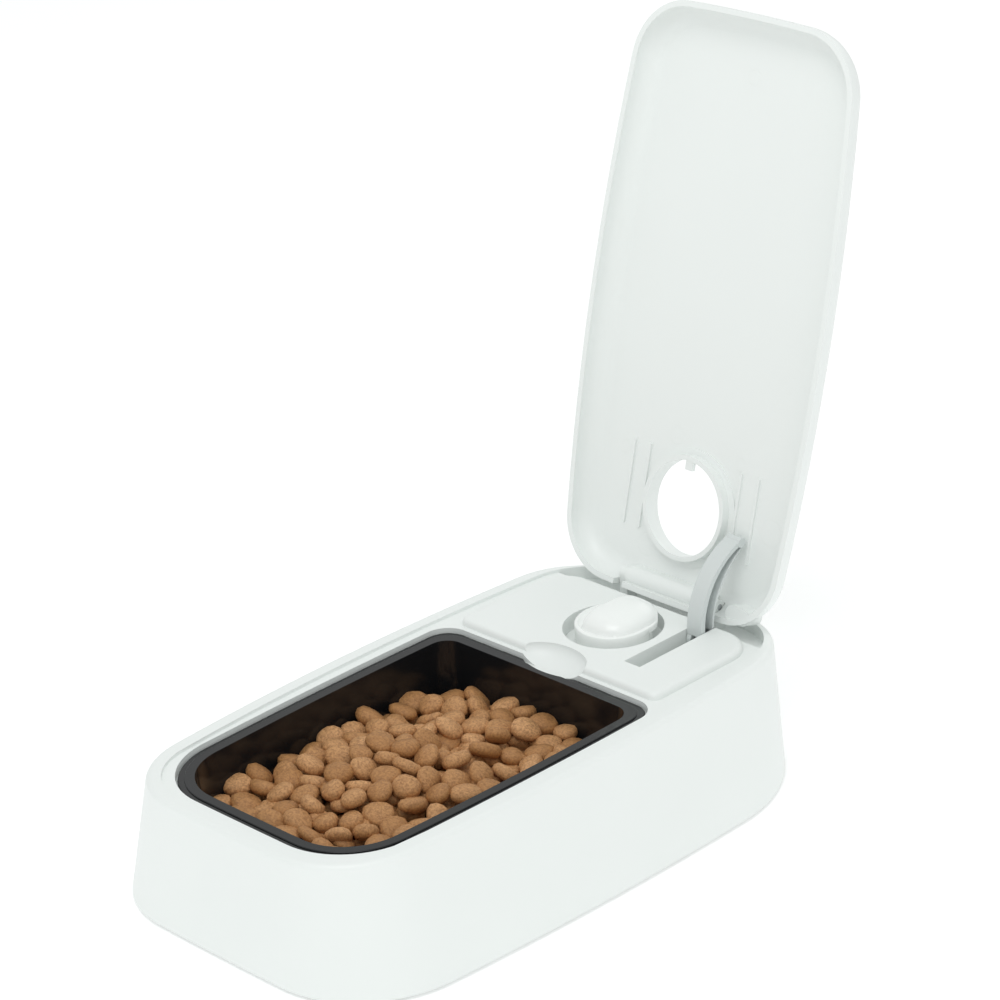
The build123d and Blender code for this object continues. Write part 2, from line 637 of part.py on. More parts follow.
with BuildPart() as lift_arm:
    # banana-shaped lever: eye at the pivot, narrow rounded tip, both edges arcs
    with BuildSketch(side(ARM_X - ARM_WIDTH / 2)):
        with BuildLine():
            belly_end = arm_point(ARM_CHORD, -ARM_TIP_BELLY)
            back_end = arm_point(ARM_CHORD, ARM_TIP_BACK)
            middle = ARM_CHORD / 2
            ThreePointArc(arm_point(0, -ARM_EYE), arm_point(middle, -ARM_SAG - ARM_HALF), belly_end)
            ThreePointArc(belly_end, arm_point(ARM_CHORD + ARM_TIP_BELLY, 0), back_end)
            ThreePointArc(back_end, arm_point(middle, -ARM_SAG + ARM_HALF), arm_point(0, ARM_EYE))
            ThreePointArc(arm_point(0, ARM_EYE), arm_point(-ARM_EYE, 0), arm_point(0, -ARM_EYE))
        make_face()
    extrude(amount=ARM_WIDTH)
    # pocket in its right flank leaves a front band and a thin web
    with BuildSketch(side(ARM_X - ARM_WIDTH / 2 + WEB)):
        with BuildLine():
            pocket_tip = ARM_CHORD - POCKET_END
            middle = ARM_CHORD * 0.55
            near_belly = arm_point(POCKET_START, -ARM_EYE + 0.8)
            near_back = arm_point(POCKET_START, ARM_EYE - 3)
            far_belly = arm_point(pocket_tip, -ARM_TIP_BELLY + 0.8)
            far_back = arm_point(pocket_tip, ARM_TIP_BACK - 1.3)
            ThreePointArc(near_belly, arm_point(middle, -ARM_SAG - 1.2), far_belly)
            Line(far_belly, far_back)
            ThreePointArc(far_back, arm_point(middle, -ARM_SAG + 2.4), near_back)
            Line(near_back, near_belly)
        make_face()
    extrude(amount=ARM_WIDTH, mode=Mode.SUBTRACT)
    with BuildSketch(side(ARM_X - ARM_WIDTH)):
        with Locations((ARM_PIVOT_Y, ARM_PIVOT_Z)):
            Circle(ARM_PIN_RADIUS + RUN)
    extrude(amount=2 * ARM_WIDTH, mode=Mode.SUBTRACT)
    # the spring's coil lies in a recess round the eye
    with BuildSketch(side(ARM_X - 1.6)):
        with Locations((ARM_PIVOT_Y, ARM_PIVOT_Z)):
            Circle(ARM_EYE + 0.2)
            Circle(ARM_PIN_RADIUS + RUN, mode=Mode.SUBTRACT)
    extrude(amount=ARM_WIDTH, mode=Mode.SUBTRACT)
finish(lift_arm, "lift_arm")

with BuildPart() as arm_pin:
    with BuildSketch(side(ARM_X - SLOT_HALF - SLOT_WALL)):
        with Locations((ARM_PIVOT_Y, ARM_PIVOT_Z)):
            Circle(ARM_PIN_RADIUS)
    extrude(amount=2 * (SLOT_HALF + SLOT_WALL))
finish(arm_pin, "arm_pin")

WIRE = 0.45
COIL_RADIUS = 2.5
SPRING_LEG = 9.5
with BuildPart() as arm_spring:
    # torsion spring: close turns round the pin and a leg that lies along the arm's pocket
    for turn in range(4):
        with BuildSketch(Plane(origin=(ARM_X - 0.8 + turn * 0.8, BASE_Y + ARM_PIVOT_Y, ARM_PIVOT_Z))):
            with Locations((0, COIL_RADIUS)):
                Circle(WIRE)
        revolve(axis=Axis((0, BASE_Y + ARM_PIVOT_Y, ARM_PIVOT_Z), (1, 0, 0)))
    leg_y, leg_z = arm_point(0, -COIL_RADIUS)
    with BuildSketch(Plane(origin=(ARM_X - 0.8, BASE_Y + leg_y, leg_z), x_dir=(1, 0, 0),
                           z_dir=(0, cos(radians(ARM_UP)), sin(radians(ARM_UP))))):
        Circle(WIRE)
    extrude(amount=SPRING_LEG)
finish(arm_spring, "arm_spring")

# ---------------------------------------------------------------- timer: knob, spindle, clutch
with BuildPart() as timer_knob:
    with BuildSketch(level(WELL_Z + 1.0)):
        with Locations((0, DIAL_Y)):
            Circle(KNOB_RADIUS)
    extrude(amount=KNOB_EDGE - WELL_Z - 1.0)
    fillet(timer_knob.faces().sort_by(Axis.Z)[-1].edges(), 0.8)
    # crowned grip bar along Y, longer towards the hinge
    with BuildSketch(level(KNOB_EDGE - 2)):
        with Locations((0, DIAL_Y + GRIP_SHIFT)):
            SlotOverall(GRIP_LENGTH, GRIP_WIDTH, rotation=90)
    extrude(amount=KNOB_TOP - KNOB_EDGE + 2)
    fillet(timer_knob.faces().sort_by(Axis.Z)[-1].edges(), GRIP_ROUND)
    with BuildSketch(level(WELL_Z)):
        with Locations((0, DIAL_Y)):
            Circle(SPINDLE_RADIUS)
    extrude(amount=SPINDLE_TOP - WELL_Z, mode=Mode.SUBTRACT)
finish(timer_knob, "timer_knob")

WHEEL_Z = 33.0
with BuildPart() as knob_spindle:
    with BuildSketch(level(CASE_BOTTOM + CASE_WALL + 0.1)):
        with Locations((0, DIAL_Y)):
            Circle(STEP_RADIUS)
    extrude(amount=4)
    with BuildSketch(level(CASE_BOTTOM + CASE_WALL + 3)):
        with Locations((0, DIAL_Y)):
            Circle(SPINDLE_RADIUS)
    extrude(amount=SPINDLE_TOP - CASE_BOTTOM - CASE_WALL - 3)
    # groove for the retaining clip
    with BuildSketch(level(WHEEL_Z - 1.3)):
        with Locations((0, DIAL_Y)):
            Circle(4)
            Circle(1.9, mode=Mode.SUBTRACT)
    extrude(amount=0.8, mode=Mode.SUBTRACT)
finish(knob_spindle, "knob_spindle")

with BuildPart() as spindle_clip:
    with BuildSketch(level(WHEEL_Z - 1.2)):
        with Locations((0, DIAL_Y)):
            Circle(4)
            Circle(1.95, mode=Mode.SUBTRACT)
            with Locations((0, -4)):
                Rectangle(2.6, 5, mode=Mode.SUBTRACT)
    extrude(amount=0.6)
finish(spindle_clip, "spindle_clip")

with BuildPart() as clutch_washer:
    # dished spring washer that presses the output wheel against the clip
    with BuildSketch(Plane(origin=(0, BASE_Y + DIAL_Y, 0), x_dir=(1, 0, 0), z_dir=(0, -1, 0))):
        Polygon(
            (SPINDLE_RADIUS, WHEEL_Z + 2.3), (SPINDLE_RADIUS, WHEEL_Z + 1.95), (6, WHEEL_Z + 1.55),
            (6, WHEEL_Z + 1.9), align=None,
        )
    revolve(axis=Axis((0, BASE_Y + DIAL_Y, 0), (0, 0, 1)))
finish(clutch_washer, "clutch_washer")

# ---------------------------------------------------------------- timer: gear train and motor
REDUCTION_GAP = MODULE * (WHEEL_TEETH + PINION_TEETH) / 2
ROTOR_GAP = MODULE * (REDUCTION_TEETH + ROTOR_TEETH) / 2
REDUCTION_AT = (
    REDUCTION_GAP * cos(radians(REDUCTION_TURN)), DIAL_Y + REDUCTION_GAP * sin(radians(REDUCTION_TURN)),
)
ROTOR_AT = (
    REDUCTION_AT[0] + ROTOR_GAP * cos(radians(ROTOR_TURN)),
    REDUCTION_AT[1] + ROTOR_GAP * sin(radians(ROTOR_TURN)),
)
ARBOR_RADIUS = 0.6

with BuildPart() as output_wheel:
    with BuildSketch(level(WHEEL_Z)):
        with Locations((0, DIAL_Y)):
            Circle(MODULE * WHEEL_TEETH / 2 - 2)
    extrude(amount=1.5)
    with BuildSketch(Plane(origin=(0, BASE_Y + DIAL_Y, WHEEL_Z))):
        gear_outline(WHEEL_TEETH, REDUCTION_TURN)
    extrude(amount=1.5)
    with BuildSketch(level(WHEEL_Z)):
        with Locations((0, DIAL_Y)):
            Circle(SPINDLE_RADIUS + RUN)
    extrude(amount=1.5, mode=Mode.SUBTRACT)
finish(output_wheel, "output_wheel")

with BuildPart() as reduction_wheel:
    # pinion that the output wheel meshes with, above the wheel that the rotor drives
    reduction_place = (REDUCTION_AT[0], BASE_Y + REDUCTION_AT[1])
    with BuildSketch(Plane(origin=(*reduction_place, WHEEL_Z - 1.6))):
        gear_outline(PINION_TEETH, REDUCTION_TURN + 180 + 180 / PINION_TEETH)
    extrude(amount=3.4)
    with BuildSketch(Plane(origin=(*reduction_place, WHEEL_Z - 2.8))):
        gear_outline(REDUCTION_TEETH, ROTOR_TURN)
    extrude(amount=1.2)
    with BuildSketch(Plane(origin=(*reduction_place, WHEEL_Z - 3))):
        Circle(ARBOR_RADIUS + RUN)
    extrude(amount=8, mode=Mode.SUBTRACT)
finish(reduction_wheel, "reduction_wheel")

with BuildPart() as rotor:
    rotor_place = (ROTOR_AT[0], BASE_Y + ROTOR_AT[1])
    with BuildSketch(Plane(origin=(*rotor_place, WHEEL_Z - 3.6))):
        gear_outline(ROTOR_TEETH, ROTOR_TURN + 180 + 180 / ROTOR_TEETH)
    extrude(amount=2.6)
    with BuildSketch(Plane(origin=(*rotor_place, WHEEL_Z - 7.4))):
        Circle(3)
    extrude(amount=3.8)
    with BuildSketch(Plane(origin=(*rotor_place, WHEEL_Z - 8))):
        Circle(ARBOR_RADIUS + RUN)
    extrude(amount=9, mode=Mode.SUBTRACT)
finish(rotor, "rotor")

with BuildPart() as wheel_arbors:
    with BuildSketch(level(CASE_BOTTOM + CASE_WALL)):
        with Locations(REDUCTION_AT, ROTOR_AT):
            Circle(ARBOR_RADIUS)
    extrude(amount=CASE_TOP - CASE_BOTTOM - 2 * CASE_WALL)
finish(wheel_arbors, "wheel_arbors")

STATOR_Z = 26.4
with BuildPart() as motor_stator:
    # flat iron yoke with a hole round the rotor's magnet and a bar that carries the coil
    with BuildSketch(level(STATOR_Z)):
        with Locations((ROTOR_AT[0] + 6, ROTOR_AT[1] - 1)):
            Rectangle(24, 11)
        with Locations((ROTOR_AT[0] + 7.75, ROTOR_AT[1] - 13)):
            Rectangle(20.5, 4)
        with Locations((ROTOR_AT[0] - 0.5, ROTOR_AT[1] - 8), (ROTOR_AT[0] + 16, ROTOR_AT[1] - 8)):
            Rectangle(4, 14)
        with Locations(ROTOR_AT):
            Circle(3.5, mode=Mode.SUBTRACT)
    extrude(amount=1.2)
finish(motor_stator, "motor_stator")

with BuildPart() as motor_coil:
    coil_plane = Plane(
        origin=(ROTOR_AT[0] + 1.8, BASE_Y + ROTOR_AT[1] - 13, STATOR_Z + 0.6), x_dir=(0, 1, 0), z_dir=(1, 0, 0)
    )
    with BuildSketch(coil_plane):
        Circle(3.0)
        Rectangle(4.2, 1.4, mode=Mode.SUBTRACT)
    extrude(amount=11.8)
finish(motor_coil, "motor_coil")

with BuildPart() as circuit_board:
    with BuildSketch(level(CASE_BOTTOM + CASE_WALL)):
        with Locations((6, 69)):
            Rectangle(26, 13)
        with Locations((-4.6, 64.2), (16.6, 64.2)):
            Circle(1.0, mode=Mode.SUBTRACT)
    extrude(amount=1.0)
finish(circuit_board, "circuit_board")

with BuildPart() as quartz_crystal:
    with BuildSketch(Plane(origin=(8, BASE_Y + 71, CASE_BOTTOM + CASE_WALL + 2.6), x_dir=(0, 1, 0),
                           z_dir=(1, 0, 0))):
        Circle(1.55)
    extrude(amount=7)
    fillet(quartz_crystal.faces().sort_by(Axis.X)[0].edges(), 0.5)
finish(quartz_crystal, "quartz_crystal")

# ---------------------------------------------------------------- timer case and its screws
CASE_CENTRE = ((CASE_LEFT + CASE_RIGHT) / 2, (CASE_FRONT + CASE_REAR) / 2)
CASE_SIZE = (CASE_RIGHT - CASE_LEFT, CASE_REAR - CASE_FRONT)


def case_box(bottom, height, grown):
    """Sketch-and-extrude of the timer case's rounded plan, in the open part."""
    with BuildSketch(level(bottom)) as plan:
        with Locations(CASE_CENTRE):
            RectangleRounded(CASE_SIZE[0] + grown, CASE_SIZE[1] + grown, 4)
    return extrude(plan.sketch, amount=height, mode=Mode.PRIVATE)


with BuildPart() as timer_case_lower:
    add(case_box(CASE_BOTTOM, CASE_SPLIT - CASE_BOTTOM, 0))
    add(case_box(CASE_BOTTOM + CASE_WALL, 20, -2 * CASE_WALL), mode=Mode.SUBTRACT)
    with BuildSketch(level(CASE_BOTTOM)):
        with Locations(*CASE_SCREWS):
            Circle(CASE_TUBE)
    extrude(amount=CASE_SPLIT - CASE_BOTTOM)
    with BuildSketch(level(CASE_BOTTOM)):
        with Locations(*CASE_SCREWS):
            Circle(CASE_HOLE)
    extrude(amount=20, mode=Mode.SUBTRACT)
    with BuildSketch(level(CASE_BOTTOM)):
        with Locations(*CASE_SCREWS):
            Circle(2.4)
    extrude(amount=1.6, mode=Mode.SUBTRACT)
    # footstep bearing of the spindle and seats of the arbors
    with BuildSketch(level(CASE_BOTTOM + 0.5)):
        with Locations((0, DIAL_Y)):
            Circle(3.2)
    extrude(amount=3.4)
    with BuildSketch(level(CASE_BOTTOM + CASE_WALL)):
        with Locations((0, DIAL_Y)):
            Circle(STEP_RADIUS + RUN)
    extrude(amount=8, mode=Mode.SUBTRACT)
finish(timer_case_lower, "timer_case_lower")

with BuildPart() as timer_case_upper:
    add(case_box(CASE_SPLIT, CASE_TOP - CASE_SPLIT, 0))
    add(case_box(CASE_SPLIT - 1, CASE_TOP - CASE_SPLIT - CASE_WALL + 1, -2 * CASE_WALL), mode=Mode.SUBTRACT)
    with BuildSketch(level(CASE_SPLIT)):
        with Locations(*CASE_SCREWS):
            Circle(CASE_TUBE)
    extrude(amount=CASE_TOP - CASE_SPLIT)
    with BuildSketch(level(CASE_SPLIT)):
        with Locations(*CASE_SCREWS):
            Circle(CASE_HOLE)
    extrude(amount=20, mode=Mode.SUBTRACT)
    with BuildSketch(level(CASE_SPLIT)):
        with Locations((0, DIAL_Y)):
            Circle(SPINDLE_RADIUS + RUN)
    extrude(amount=20, mode=Mode.SUBTRACT)
finish(timer_case_upper, "timer_case_upper")

timer_screws = screws(CASE_SCREWS, CASE_BOTTOM + 0.2, 2.2, 0.98, 21)
finish(timer_screws, "timer_screws")

# ---------------------------------------------------------------- battery, contacts and door
with BuildPart() as battery_cell:
    with BuildSketch(Plane(origin=(CELL_X - CELL_LENGTH / 2, BASE_Y + CELL_Y, CELL_Z), x_dir=(0, 1, 0),
                           z_dir=(1, 0, 0))):
        Circle(CELL_RADIUS)
    extrude(amount=CELL_LENGTH - 1.2)
    fillet(battery_cell.edges().filter_by(GeomType.CIRCLE), 0.6)
    with BuildSketch(Plane(origin=(CELL_X + CELL_LENGTH / 2 - 1.4, BASE_Y + CELL_Y, CELL_Z), x_dir=(0, 1, 0),
                           z_dir=(1, 0, 0))):
        Circle(2.7)
    extrude(amount=1.4)
finish(battery_cell, "battery_cell")

with BuildPart() as contact_positive:
    # spring-steel strip against the bay's right end, turned over the bay's roof
    with BuildSketch(Plane(origin=(CELL_X + BAY_HALF_X - 0.5, BASE_Y + CELL_Y, 11.4), x_dir=(0, 1, 0),
                           z_dir=(1, 0, 0))):
        Rectangle(9, 13)
    extrude(amount=0.5)
    with BuildSketch(Plane(origin=(CELL_X + CELL_LENGTH / 2 + 0.05, BASE_Y + CELL_Y, CELL_Z), x_dir=(0, 1, 0),
                           z_dir=(1, 0, 0))):
        Circle(2)
    extrude(amount=BAY_HALF_X - CELL_LENGTH / 2 - 0.3)
finish(contact_positive, "contact_positive")

with BuildPart() as contact_negative:
    # conical coil of wire that pushes the cell, on its backing strip
    with BuildSketch(Plane(origin=(CELL_X - BAY_HALF_X, BASE_Y + CELL_Y, 11.4), x_dir=(0, 1, 0),
                           z_dir=(1, 0, 0))):
        Rectangle(9, 13)
    extrude(amount=0.5)
    coil_run = BAY_HALF_X - CELL_LENGTH / 2 - 0.5
    for turn in range(5):
        turn_radius = 4.2 - 0.45 * turn
        turn_x = CELL_X - BAY_HALF_X + 0.7 + turn * (coil_run - 0.75) / 4
        with BuildSketch(Plane(origin=(turn_x, BASE_Y + CELL_Y, CELL_Z))):
            with Locations((0, turn_radius)):
                Circle(0.5)
        revolve(axis=Axis((0, BASE_Y + CELL_Y, CELL_Z), (1, 0, 0)))
finish(contact_negative, "contact_negative")

with BuildPart() as battery_door:
    with BuildSketch(level(FOOT_DROP + 0.02)):
        with Locations((CELL_X, CELL_Y)):
            RectangleRounded(2 * BAY_HALF_X + 4.4, 2 * BAY_HALF_Y + 4.4, 0.4)
    extrude(amount=DOOR_THICK)
    # finger grooves
    with BuildSketch(level(FOOT_DROP)):
        for groove in range(4):
            with Locations((CELL_X - 20 + 2.4 * groove, CELL_Y)):
                Rectangle(1.0, 9)
    extrude(amount=0.7, mode=Mode.SUBTRACT)
finish(battery_door, "battery_door")
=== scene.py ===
"""Looks of the automatic pet feeder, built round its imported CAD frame.

Every length below is in millimetres in the feeder's own frame (+Z up, +Y towards the hinge) and
becomes metres in one place, when a mesh is made. Each sub-assembly is a class that dresses the CAD
nodes it owns and builds the pieces that need a finer surface than their CAD solids have.
"""

import logging
import math
from dataclasses import dataclass, field
from enum import Enum

import bpy
import numpy as np
from mathutils import Matrix, Vector


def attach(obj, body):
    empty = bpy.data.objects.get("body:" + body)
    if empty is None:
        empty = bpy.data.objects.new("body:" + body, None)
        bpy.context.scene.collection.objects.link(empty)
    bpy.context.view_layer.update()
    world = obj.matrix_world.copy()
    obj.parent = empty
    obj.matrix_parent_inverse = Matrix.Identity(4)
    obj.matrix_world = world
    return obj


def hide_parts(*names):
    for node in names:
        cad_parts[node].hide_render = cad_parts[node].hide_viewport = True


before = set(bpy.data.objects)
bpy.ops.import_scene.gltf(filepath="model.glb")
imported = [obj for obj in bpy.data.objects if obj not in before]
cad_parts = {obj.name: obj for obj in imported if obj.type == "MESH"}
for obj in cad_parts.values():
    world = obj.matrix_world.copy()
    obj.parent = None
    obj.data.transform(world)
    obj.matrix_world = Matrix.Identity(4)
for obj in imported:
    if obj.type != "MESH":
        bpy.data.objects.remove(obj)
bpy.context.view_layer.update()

LOG = logging.getLogger("pet_feeder")
MM = 0.001
BASE_Y = -25.1  # plan centre of the base along Y
DIAL_Y = BASE_Y + 78.9
DIAL_Z = 53.0  # top edge of the dial's disc
HINGE = (BASE_Y + 111.3, 53.85)
LID_OPEN = math.radians(106.0)
RIM_DROP = 5.15  # the plane of the lid's rim lies this far below the hinge axis when shut
LID_CEILING = 8.8  # the lid's inner face, above its rim
MARK_WIDTH = 0.28  # half width of an ejector pin's ring
MARK_DEPTH = 6.0  # depth of such a ring, in heights of the grain
GLOSS_SPREAD = (-0.04, 0.05)  # how far the roughness drifts from its stated value
COAT_ROUGHNESS = 0.08


class Grain(Enum):
    """How a surface was left by its making, which sets the pattern its bump is drawn with."""

    SPARK = "fine spark-eroded mould texture"
    POLISHED = "polished mould"
    DRAWN = "drawn or rolled metal"
    CAST = "matt rubber or pressed powder"


# ------------------------------------------------------------------------------- small tools
def linear(code: str) -> tuple[float, float, float, float]:
    """Turns an sRGB hex colour to linear light.

    Args:
        code: Six hex digits, with or without a leading hash.

    Returns:
        Red, green, blue and an alpha of 1, as Blender's sockets take them.
    """
    raw = np.array([int(code.lstrip("#")[i:i + 2], 16) for i in (0, 2, 4)]) / 255.0
    light = np.where(raw <= 0.04045, raw / 12.92, ((raw + 0.055) / 1.055) ** 2.4)
    return (float(light[0]), float(light[1]), float(light[2]), 1.0)


def add_node(tree: bpy.types.NodeTree, kind: str, settings: dict | None = None,
             links: dict | None = None) -> bpy.types.Node:
    """Adds one shader node with its settings and its incoming links.

    Args:
        tree: The material's or world's node tree.
        kind: Blender's name for the node's type.
        settings: Values by input name, input number or attribute name.
        links: Output sockets by the name or number of the input that they feed.

    Returns:
        The new node.
    """
    node = tree.nodes.new(kind)
    for key, value in (settings or {}).items():
        if isinstance(key, int) or key in node.inputs.keys():
            node.inputs[key].default_value = value
        else:
            setattr(node, key, value)
    for key, socket in (links or {}).items():
        tree.links.new(socket, node.inputs[key])
    return node


def mix_colours(tree: bpy.types.NodeTree, first: str, second: str,
                share: bpy.types.NodeSocket) -> bpy.types.NodeSocket:
    """Mixes two sRGB hex colours by a share that runs from 0 for the first to 1 for the second."""
    ends = {"data_type": "RGBA", 6: linear(first), 7: linear(second)}
    return add_node(tree, "ShaderNodeMix", ends, {0: share}).outputs[2]


def make_mesh(name: str, points: np.ndarray, quads: np.ndarray, sharp: float = 35.0) -> bpy.types.Object:
    """Makes an object at the origin from arrays of points and four-cornered faces.

    Args:
        name: The object's name.
        points: N by 3 array in millimetres, in the feeder's frame.
        quads: M by 4 array of point numbers; a repeated number makes a triangle.
        sharp: Edges that turn by more than this many degrees are shaded as sharp.

    Returns:
        The new object, linked into the scene.
    """
    mesh = bpy.data.meshes.new(name)
    mesh.from_pydata((points * MM).tolist(), [], [tuple(dict.fromkeys(q)) for q in quads.tolist()])
    mesh.validate()
    mesh.polygons.foreach_set("use_smooth", np.ones(len(mesh.polygons), bool))
    mesh.set_sharp_from_angle(angle=math.radians(sharp))
    mesh.update()
    made = bpy.data.objects.new(name, mesh)
    bpy.context.scene.collection.objects.link(made)
    return made


def ring_quads(rings: int, sides: int, closed: bool = False) -> np.ndarray:
    """Numbers the faces of a surface made of rings of points.

    Face (i, j) joins points j and j+1 of ring i to the same points of ring i+1, the last side
    joining back to the first. With closed set, the last ring also joins back to the first one.

    Args:
        rings: Number of rings.
        sides: Number of points in each ring.
        closed: Whether the rings themselves form a loop.

    Returns:
        M by 4 array of point numbers.
    """
    i, j = np.meshgrid(np.arange(rings if closed else rings - 1), np.arange(sides), indexing="ij")
    k, n = (i + 1) % rings, (j + 1) % sides
    return np.stack([i * sides + j, i * sides + n, k * sides + n, k * sides + j], axis=-1).reshape(-1, 4)


def tube(path: np.ndarray, radius: float, sides: int, across: tuple[float, float, float]) -> tuple:
    """Carries a circle along a path.

    Ring i is centred on path point i and lies square to the path there: its two directions are the
    path's tangent crossed with the fixed direction, and the tangent crossed with that.

    Args:
        path: N by 3 array of centres.
        radius: The tube's radius.
        sides: Number of points round it.
        across: A direction that the path never runs along.

    Returns:
        The points and the faces, with both ends closed by a fan to the end's centre.
    """
    tangent = np.gradient(path, axis=0)
    tangent /= np.linalg.norm(tangent, axis=1, keepdims=True)
    first = np.cross(tangent, np.array(across))
    first /= np.linalg.norm(first, axis=1, keepdims=True)
    second = np.cross(tangent, first)
    angle = np.linspace(0, 2 * np.pi, sides, endpoint=False)
    rings = (path[:, None] + radius * (np.cos(angle)[None, :, None] * first[:, None]
                                       + np.sin(angle)[None, :, None] * second[:, None]))
    count = len(path) * sides
    points = np.vstack([rings.reshape(-1, 3), path[:1], path[-1:]])
    j = np.arange(sides)
    n = (j + 1) % sides
    start = np.stack([n, j, np.full(sides, count), np.full(sides, count)], axis=1)
    last = count - sides
    end = np.stack([last + j, last + n, np.full(sides, count + 1), np.full(sides, count + 1)], axis=1)
    return points, np.vstack([ring_quads(len(path), sides), start, end])


def lid_point(x: float, forward: float, height: float) -> tuple[float, float, float]:
    """Point of the open lid, from its distance forward of the hinge and its height above the rim."""
    lift = height - RIM_DROP
    y = HINGE[0] - forward * math.cos(LID_OPEN) + lift * math.sin(LID_OPEN)
    z = HINGE[1] + forward * math.sin(LID_OPEN) + lift * math.cos(LID_OPEN)
    return (x, y, z)


# ----------------------------------------------------------------------------------- finishes
@dataclass(frozen=True)
class Finish:
    """A solid material with its colour drift, its grain and its gloss drift.

    The colour drifts between two near values over tens of millimetres, the roughness drifts with
    it, and the grain is a bump whose scale comes from a real size in millimetres.
    """

    name: str
    colour: str
    second: str
    roughness: float
    grain: Grain = Grain.SPARK
    grain_mm: float = 0.6
    grain_depth_mm: float = 0.01
    drift_mm: float = 45.0
    metallic: float = 0.0
    ior: float = 1.53
    coat: float = 0.0
    marks: tuple = ()

    def coordinates(self, tree: bpy.types.NodeTree) -> bpy.types.NodeSocket:
        """Object coordinates in metres, which stay with the piece as its joint moves."""
        return add_node(tree, "ShaderNodeTexCoord").outputs["Object"]

    def height(self, tree: bpy.types.NodeTree, where: bpy.types.NodeSocket) -> bpy.types.NodeSocket:
        """Draws the grain that the bump is made from.

        Args:
            tree: The material's node tree.
            where: The coordinates the grain is laid on.

        Returns:
            A height from 0 to 1.
        """
        if self.grain is Grain.DRAWN:
            stretch = add_node(tree, "ShaderNodeMapping", {"Scale": (0.06, 1.0, 1.0)}, {"Vector": where})
            where = stretch.outputs[0]
        detail = {Grain.SPARK: 3.0, Grain.POLISHED: 1.0, Grain.DRAWN: 4.0, Grain.CAST: 5.0}[self.grain]
        noise = add_node(tree, "ShaderNodeTexNoise",
                         {"Scale": 1.0 / (self.grain_mm * MM), "Detail": detail, "Roughness": 0.6},
                         {"Vector": where})
        return noise.outputs["Fac"]

    def tint(self, tree: bpy.types.NodeTree, where: bpy.types.NodeSocket,
             drift: bpy.types.NodeSocket) -> bpy.types.NodeSocket:
        """Colour that drifts between the finish's two values."""
        return mix_colours(tree, self.colour, self.second, drift)

    def witness(self, tree: bpy.types.NodeTree, where: bpy.types.NodeSocket,
                height: bpy.types.NodeSocket) -> bpy.types.NodeSocket:
        """Adds the shallow rings that ejector pins leave.

        Each ring is where the distance to the mark's centre is within the mark's half width of its
        radius; the rings, some six times as deep as the grain, are taken from the height.

        Args:
            tree: The material's node tree.
            where: Object coordinates.
            height: The grain's height.

        Returns:
            The height with the rings sunk into it.
        """
        for centre, radius in self.marks:
            away = add_node(tree, "ShaderNodeVectorMath",
                            {"operation": "DISTANCE", 1: tuple(c * MM for c in centre)}, {0: where})
            ring = add_node(tree, "ShaderNodeMath",
                            {"operation": "COMPARE", 1: radius * MM, 2: MARK_WIDTH * MM},
                            {0: away.outputs["Value"]})
            height = add_node(tree, "ShaderNodeMath", {"operation": "MULTIPLY_ADD", 1: -MARK_DEPTH},
                              {0: ring.outputs[0], 2: height}).outputs[0]
        return height

    def build(self) -> bpy.types.Material:
        """Makes the material.

        Returns:
            A material with one Principled shader.
        """
        material = bpy.data.materials.new(self.name)
        material.use_nodes = True
        tree = material.node_tree
        tree.nodes.clear()
        where = self.coordinates(tree)
        drift = add_node(tree, "ShaderNodeTexNoise", {"Scale": 1.0 / (self.drift_mm * MM), "Detail": 2.0},
                         {"Vector": where}).outputs["Fac"]
        low, high = (self.roughness + spread for spread in GLOSS_SPREAD)
        gloss = add_node(tree, "ShaderNodeMapRange", {"To Min": low, "To Max": high}, {"Value": drift})
        height = self.witness(tree, where, self.height(tree, where))
        bump = add_node(tree, "ShaderNodeBump", {"Strength": 0.6, "Distance": self.grain_depth_mm * MM},
                        {"Height": height})
        shader = add_node(tree, "ShaderNodeBsdfPrincipled",
                          {"Metallic": self.metallic, "IOR": self.ior, "Coat Weight": self.coat,
                           "Coat Roughness": COAT_ROUGHNESS},
                          {"Base Color": self.tint(tree, where, drift), "Roughness": gloss.outputs[0],
                           "Normal": bump.outputs[0]})
        add_node(tree, "ShaderNodeOutputMaterial", None, {"Surface": shader.outputs[0]})
        return material


@dataclass(frozen=True)
class BandedFinish(Finish):
    """A finish crossed by bands of its second colour, such as a winding's turns or a printed jacket."""

    axis: int = 0
    band_mm: float = 0.5
    share: float = 0.5

    def tint(self, tree: bpy.types.NodeTree, where: bpy.types.NodeSocket,
             drift: bpy.types.NodeSocket) -> bpy.types.NodeSocket:
        """Colours the bands: the chosen coordinate over the band's pitch, its fraction against the share."""
        split = add_node(tree, "ShaderNodeSeparateXYZ", None, {0: where})
        turns = add_node(tree, "ShaderNodeMath", {"operation": "DIVIDE", 1: self.band_mm * MM},
                         {0: split.outputs[self.axis]})
        part = add_node(tree, "ShaderNodeMath", {"operation": "FRACT"}, {0: turns.outputs[0]})
        step = add_node(tree, "ShaderNodeMath", {"operation": "GREATER_THAN", 1: self.share},
                        {0: part.outputs[0]})
        return mix_colours(tree, self.colour, self.second, step.outputs[0])


